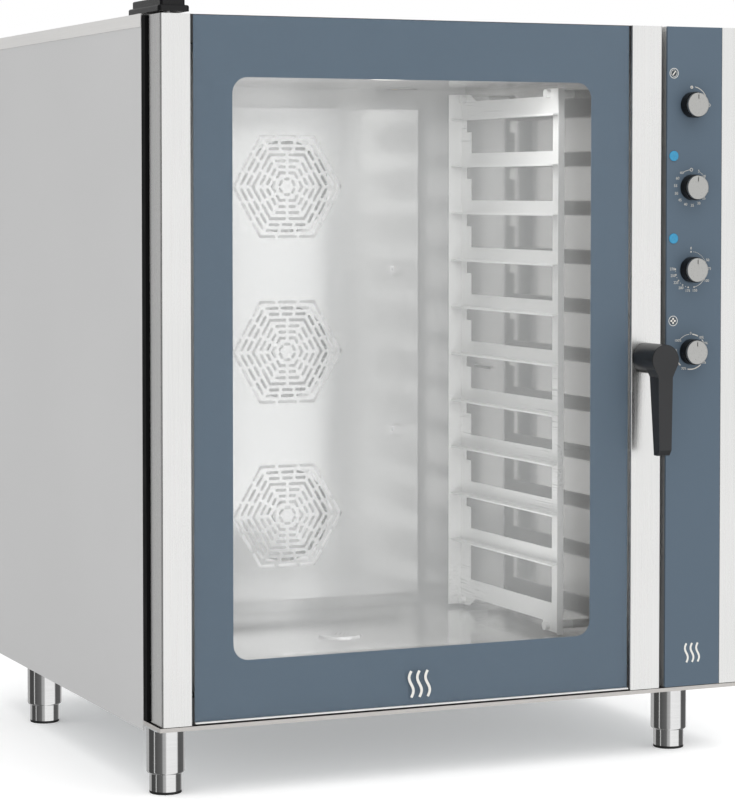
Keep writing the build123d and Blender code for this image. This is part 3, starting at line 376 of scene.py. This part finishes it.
def apply_finishes():
    """Gives each node its own finish if it has one, or that of its slot."""
    finishes, own = slot_finishes(), own_finishes()
    for row in frame["record"]["subparts"]:
        mesh = frame["nodes"][row["node"]].data
        mesh.materials.clear()
        mesh.materials.append(own.get(row["node"], finishes[row["material_slot"]]))


# ---- printed scales and symbols -----------------------------------------------------------------
INK_DEPTH = 0.2 * MM
GROUND_DEPTH = 0.1 * MM
POINTER_DEPTH = 0.08 * MM
STEPS_PER_TURN = 40
DOT_CORNERS = 20


def around(centre, radius, clock):
    """A point on a dial: the angle is in degrees, clockwise from the top."""
    return (centre[0] + radius * sin(radians(clock)), centre[1] + radius * cos(radians(clock)))


def dot(centre, radius):
    """A filled disc."""
    return [[around(centre, radius, 360 * k / DOT_CORNERS) for k in range(DOT_CORNERS)]]


def band(centre, radius, width, start, stop):
    """An arc of one width, as a run of quads."""
    count = max(2, int(abs(stop - start) / 360 * STEPS_PER_TURN) + 1)
    clocks = [start + (stop - start) * k / count for k in range(count + 1)]
    inner, outer = radius - width / 2, radius + width / 2
    return [
        [around(centre, inner, a), around(centre, outer, a), around(centre, outer, b),
         around(centre, inner, b)]
        for a, b in zip(clocks, clocks[1:])
    ]


def stroke(points, width):
    """A line through several points, as a run of quads with shared corners."""
    points = [Vector(p) for p in points]
    ways = [(b - a).normalized() for a, b in zip(points, points[1:])]
    sides = []
    for k in range(len(points)):
        way = ways[max(k - 1, 0)] + ways[min(k, len(ways) - 1)]
        side = Vector((-way.y, way.x)).normalized() * width / 2
        sides.append((points[k] + side, points[k] - side))
    return [[a[0], a[1], b[1], b[0]] for a, b in zip(sides, sides[1:])]


SIZE_PER_DIGIT_HEIGHT = 1.35


def lettering(text, centre, height):
    """A number's faces, centred on a point; height is that of a digit."""
    curve = bpy.data.curves.new("number", "FONT")
    curve.body = text
    curve.size = height * SIZE_PER_DIGIT_HEIGHT
    curve.align_x = "CENTER"
    curve.align_y = "CENTER"
    curve.resolution_u = 3
    holder = bpy.data.objects.new("number", curve)
    mesh = bpy.data.meshes.new_from_object(holder)
    shapes = [
        [(centre[0] + mesh.vertices[i].co.x, centre[1] + mesh.vertices[i].co.y) for i in face.vertices]
        for face in mesh.polygons
    ]
    bpy.data.objects.remove(holder)
    bpy.data.curves.remove(curve)
    bpy.data.meshes.remove(mesh)
    return shapes


def print_piece(name, shapes, front, ink, body, depth=INK_DEPTH):
    """Thin raised ink on the plane y = front, which faces -Y; shapes are in X and Z, in metres."""
    build = bmesh.new()
    for shape in shapes:
        face = build.faces.new([build.verts.new((x, front, z)) for x, z in shape])
        face.normal_update()
        if face.normal.y > 0:
            face.normal_flip()
    bmesh.ops.remove_doubles(build, verts=build.verts, dist=1e-7)
    base = list(build.faces)
    raised = bmesh.ops.extrude_face_region(build, geom=base, use_keep_orig=False)["geom"]
    moved = [item for item in raised if isinstance(item, bmesh.types.BMVert)]
    bmesh.ops.translate(build, verts=moved, vec=(0, -depth, 0))
    mesh = bpy.data.meshes.new(name)
    build.to_mesh(mesh)
    build.free()
    mesh.materials.append(ink)
    piece = bpy.data.objects.new(name, mesh)
    SCENE.collection.objects.link(piece)
    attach(piece, body)
    return piece


def dial_place(knob):
    """Middle of a knob's scale on the fascia, in X and Z."""
    low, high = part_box(knob)
    return ((low.x + high.x) / 2, (low.z + high.z) / 2)


def numbers(centre, radius, labels, height):
    """Numbers round a dial, from pairs of a text and its clock angle."""
    shapes = []
    for text, clock in labels:
        shapes += lettering(text, around(centre, radius, clock), height)
    return shapes


SCALE_RADIUS = 27.6 * MM
MINUTE_RADIUS = 28.4 * MM
DEGREE_RADIUS = 28 * MM
FIRST_MINUTES_CLOCK = 28
CLOCK_PER_FIVE_MINUTES = 24.7


def damper_scale(centre):
    """Closed to open: a filled spot, a sweep, and an open ring."""
    return (band(around(centre, SCALE_RADIUS, 0), 1.7 * MM, 1.6 * MM, 0, 360)
            + band(centre, 29 * MM, 1.1 * MM, 12, 76)
            + band(around(centre, 31 * MM, 90), 2.4 * MM, 0.9 * MM, 0, 360))


def timer_scale(centre):
    """Minutes in fives up to an hour, with a sweep to the endless position on the left of zero."""
    minutes = [(str(5 * k + 5), FIRST_MINUTES_CLOCK + CLOCK_PER_FIVE_MINUTES * k) for k in range(12)]
    endless = around(centre, 28.5 * MM, -37)
    loops = [(endless[0] + side * 1.5 * MM, endless[1]) for side in (-1, 1)]
    shapes = numbers(centre, MINUTE_RADIUS, minutes, 4.6 * MM)
    for loop in loops:
        shapes += band(loop, 1.4 * MM, 0.6 * MM, 0, 360)
    shapes += band(around(centre, SCALE_RADIUS, 0), 2.3 * MM, 0.9 * MM, 0, 360)
    shapes += band(centre, SCALE_RADIUS, 0.7 * MM, -30, -6)
    for start in (34, 59, 84):
        shapes += band(centre, MINUTE_RADIUS, 0.5 * MM, start, start + 11)
    return shapes


def thermostat_scale(centre):
    """Degrees, with a dot at each number and finer dots between some of them."""
    marks = (("50", 64), ("75", 88), ("100", 122), ("150", 168), ("175", 190), ("200", 212),
             ("225", 233), ("250", 254), ("270", 272))
    shapes = numbers(centre, 33.5 * MM, (("0", 0),) + marks, 4.4 * MM)
    for clock in (0,) + tuple(clock for text, clock in marks):
        shapes += dot(around(centre, DEGREE_RADIUS, clock), 1.25 * MM)
    for clock in range(10, 60, 6):
        shapes += dot(around(centre, 28.4 * MM, clock), 0.6 * MM)
    for clock in range(200, 270, 11):
        shapes += dot(around(centre, DEGREE_RADIUS, clock), 0.6 * MM)
    return shapes + band(centre, DEGREE_RADIUS, 0.7 * MM, 126, 164)


def steam_scale(centre):
    """Share of steam, with arcs of several widths between the numbers."""
    marks = (("0", 0), ("10%", 41), ("20%", 64), ("30%", 127), ("70%", 205), ("85%", 275), ("100%", -52))
    shapes = numbers(centre, 29 * MM, marks, 4.2 * MM)
    for start, stop, width in ((6, 28, 1.7), (47, 56, 1.3), (138, 191, 1.8), (221, 264, 2.0),
                               (-46, -6, 0.7)):
        shapes += band(centre, SCALE_RADIUS, width * MM, start, stop)
    return shapes


def ring_icon(centre):
    """The ring round both icons."""
    return band(centre, 7.6 * MM, 0.8 * MM, 0, 360)


def flap_icon(centre):
    """A duct with its flap half open."""
    blade = [around(centre, 4.6 * MM, 38), around(centre, 4.6 * MM, 218)]
    duct = band(centre, 5.2 * MM, 0.6 * MM, 60, 196) + band(centre, 5.2 * MM, 0.6 * MM, 240, 376)
    return ring_icon(centre) + duct + stroke(blade, 1.5 * MM)


def fan_icon(centre):
    """A fan with four round blades."""
    shapes = ring_icon(centre)
    for clock in (0, 90, 180, 270):
        shapes += dot(around(centre, 3.1 * MM, clock), 1.7 * MM)
    return shapes


def steam_symbol(centre, height, width):
    """Three wavy lines that rise side by side."""
    shapes = []
    steps = 16
    spacing = 0.34 * height
    swing = 0.09 * height
    for column in (-1, 0, 1):
        points = []
        for k in range(steps + 1):
            rise = k / steps - 0.5
            sway = sin(2 * pi * k / steps) * swing
            points.append((centre[0] + column * spacing + sway, centre[1] + rise * height))
        shapes += stroke(points, width)
    return shapes


LAMP_MARGIN = 8 * MM
PANEL_SYMBOL_RISE = 52 * MM
DOOR_SYMBOL_RISE = 6 * MM


def make_prints():
    """Scales and symbols on the fascia, and a generic steam symbol on the fascia and the door."""
    grey_ink = print_ink("scale_ink", srgb(200, 197, 190))
    white_ink = print_ink("symbol_ink", srgb(222, 220, 214))
    dark_ink = print_ink("icon_dark", srgb(52, 58, 64))
    fascia_low, fascia_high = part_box("control_fascia")
    front = fascia_low.y
    scales = {"damper": damper_scale, "timer": timer_scale, "thermostat": thermostat_scale,
              "steam": steam_scale}
    for name, scale in scales.items():
        print_piece(name + "_scale", scale(dial_place(name + "_knob")), front, grey_ink, "cabinet")
    lamp_low, lamp_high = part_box("pilot_lamps")
    icon_x = (lamp_low.x + lamp_high.x) / 2
    icon_rise = lamp_high.z - LAMP_MARGIN - dial_place("timer_knob")[1]
    for name, icon in (("damper", flap_icon), ("steam", fan_icon)):
        centre = (icon_x, dial_place(name + "_knob")[1] + icon_rise)
        print_piece(name + "_icon_ground", dot(centre, 5.8 * MM), front, dark_ink, "cabinet", GROUND_DEPTH)
        print_piece(name + "_icon", icon(centre), front, white_ink, "cabinet")
    panel_middle = (fascia_low.x + fascia_high.x) / 2
    panel_shapes = steam_symbol((panel_middle, fascia_low.z + PANEL_SYMBOL_RISE), 30 * MM, 3.2 * MM)
    print_piece("panel_symbol", panel_shapes, front, white_ink, "cabinet")
    glass_low, glass_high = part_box("door_outer_glass")
    window_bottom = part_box("door_inner_glass")[0].z
    middle = ((glass_low.x + glass_high.x) / 2, (glass_low.z + window_bottom) / 2 + DOOR_SYMBOL_RISE)
    print_piece("door_symbol", steam_symbol(middle, 40 * MM, 4.2 * MM), glass_low.y, white_ink, "door")


POINTER_WIDTH = 1.4 * MM
POINTER_START = 9.5 * MM
POINTER_END = 15.5 * MM


def make_pointers():
    """Dark line in the slot of each knob's cap."""
    ink = print_ink("pointer_ink", srgb(46, 46, 46))
    for name in ("damper_knob", "timer_knob", "thermostat_knob", "steam_knob"):
        x, z = dial_place(name)
        left, right = x - POINTER_WIDTH / 2, x + POINTER_WIDTH / 2
        inner, outer = z + POINTER_START, z + POINTER_END
        line = [[(left, inner), (right, inner), (right, outer), (left, outer)]]
        piece = print_piece(name + "_pointer", line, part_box(name)[0].y, ink, name, POINTER_DEPTH)


HANDLE_ROUNDING = 1.2 * MM
SHARP_ANGLE = radians(35)


def soften(node, width):
    """Rounds the sharp edges of a moulded part."""
    bevel = frame["nodes"][node].modifiers.new("softened", "BEVEL")
    bevel.width = width
    bevel.segments = 3
    bevel.limit_method = "ANGLE"
    bevel.angle_limit = SHARP_ANGLE


# ---- studio -------------------------------------------------------------------------------------
FLOOR_GLOW = 0.22
FLOOR_SIZE = 40


def make_floor():
    """Pale sweep that glows a little, so that the shadow under the oven stays light."""
    bpy.ops.mesh.primitive_plane_add(size=FLOOR_SIZE, location=(0, 0, 0))
    floor = bpy.context.object
    floor.name = "studio_floor"
    floor.visible_glossy = False
    made, nodes = material("studio_floor")
    grain = nodes.noise(60, detail=3.0)
    pale = nodes.tint((0.86, 0.86, 0.86, 1), nodes.spread(grain, 0.995, 1.005))
    finish_material(nodes, Base_Color=pale, Roughness=0.6, Specular_IOR_Level=0.0,
                    Emission_Color=(1, 1, 1, 1), Emission_Strength=FLOOR_GLOW)
    floor.data.materials.append(made)


# Azimuths in degrees, from -Y towards +X, with the brightness that polished steel mirrors there.
STUDIO_BANDS = ((-180, 0.46), (-140, 0.46), (-136, 0.07), (-94, 0.07), (-92, 0.7), (-88, 0.7),
                (-86, 0.08), (-42, 0.14), (-34, 0.42), (-18, 0.48), (-14, 0.95), (54, 0.92), (62, 0.1),
                (112, 0.12), (124, 0.5), (180, 0.46))


def make_world():
    """White light all round; mirrors also see dark flags between the soft boxes."""
    world = bpy.data.worlds.new("studio")
    world.use_nodes = True
    SCENE.world = world
    nodes = Nodes(world.node_tree)
    way = nodes.add("ShaderNodeTexCoord").outputs["Generated"]
    parts = nodes.add("ShaderNodeSeparateXYZ", {0: way}).outputs
    back = nodes.math("MULTIPLY", parts["Y"], -1.0)
    turn = nodes.math("ARCTAN2", parts["X"], back)
    share = nodes.math("ADD", nodes.math("DIVIDE", turn, 2 * pi), 0.5)
    ramp = nodes.add("ShaderNodeValToRGB", {0: share})
    points = ramp.color_ramp.elements
    while len(points) < len(STUDIO_BANDS):
        points.new(0.5)
    for point, (azimuth, light) in zip(points, STUDIO_BANDS):
        point.position = azimuth / 360 + 0.5
        point.color = (light, light, light, 1)
    rays = nodes.add("ShaderNodeLightPath").outputs
    mirrored = rays["Is Glossy Ray"]
    colour = nodes.pick(mirrored, (1, 1, 1, 1), ramp.outputs[0])
    light = nodes.add("ShaderNodeBackground", {"Color": colour, "Strength": 1.0})
    nodes.add("ShaderNodeOutputWorld", {"Surface": light.outputs[0]})


def area_light(name, place, target, size, watts):
    """A soft panel that lights rough surfaces, and shows neither to the camera nor in mirrors."""
    data = bpy.data.lights.new(name, "AREA")
    data.shape = "RECTANGLE"
    data.size, data.size_y = size
    data.energy = watts
    light = bpy.data.objects.new(name, data)
    light.location = place
    light.rotation_euler = (Vector(target) - Vector(place)).to_track_quat("-Z", "Y").to_euler()
    light.visible_camera = False
    light.visible_glossy = False
    SCENE.collection.objects.link(light)


OVERHEAD_WATTS = 75
OVERHEAD_SIZE = (4.5, 4.5)
OVERHEAD_PLACE = (0.4, -1.4, 4.2)
OVERHEAD_TARGET = (0, 0, 0.4)
MOUTH_WATTS = 0.65
MOUTH_SIZE = (0.6, 0.82)
MOUTH_INSET = 0.02
MOUTH_HEIGHT = 0.62
STRIP_INSET = 0.06
CEILING_STRIP_WATTS = 1.9
CEILING_STRIP_SIZE = (0.55, 0.08)
CEILING_STRIP_DROP = 0.03
CEILING_STRIP_AIM = 0.6
FLOOR_STRIP_WATTS = 2.3
FLOOR_STRIP_SIZE = (0.34, 0.2)
FLOOR_STRIP_HEIGHT = 0.2
FLOOR_STRIP_AIM = 0.75
FAN_PANEL_WATTS = 0.1
FAN_PANEL_SIZE = (0.21, 0.21)
FAN_PANEL_INSET = 3 * MM


def make_lights():
    """One large soft panel above the oven, and small ones inside it: across its mouth, along the
    front of its ceiling and floor, and behind each grille."""
    area_light("overhead", OVERHEAD_PLACE, OVERHEAD_TARGET, OVERHEAD_SIZE, OVERHEAD_WATTS)
    low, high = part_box("cavity_ceiling")
    x = (low.x + high.x) / 2
    mouth, strip = low.y + MOUTH_INSET, low.y + STRIP_INSET
    area_light("cavity_fill", (x, mouth, MOUTH_HEIGHT), (x, high.y, MOUTH_HEIGHT), MOUTH_SIZE, MOUTH_WATTS)
    area_light("cavity_glow", (x, strip, low.z - CEILING_STRIP_DROP), (x, high.y - 0.1, CEILING_STRIP_AIM),
               CEILING_STRIP_SIZE, CEILING_STRIP_WATTS)
    area_light("cavity_floor_glow", (x, strip, FLOOR_STRIP_HEIGHT), (x, high.y, FLOOR_STRIP_AIM),
               FLOOR_STRIP_SIZE, FLOOR_STRIP_WATTS)
    behind_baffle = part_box("fan_baffle")[0].y + FAN_PANEL_INSET
    for number in (1, 2, 3):
        front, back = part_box(f"fan_{number}")
        hub = (front + back) / 2
        area_light(f"fan_glow_{number}", (hub.x, behind_baffle, hub.z), (hub.x, back.y, hub.z),
                   FAN_PANEL_SIZE, FAN_PANEL_WATTS)


make_camera()
apply_finishes()
make_prints()
make_pointers()
soften("door_handle", HANDLE_ROUNDING)
make_floor()
make_world()
make_lights()
SCENE.view_settings.view_transform = "Standard"
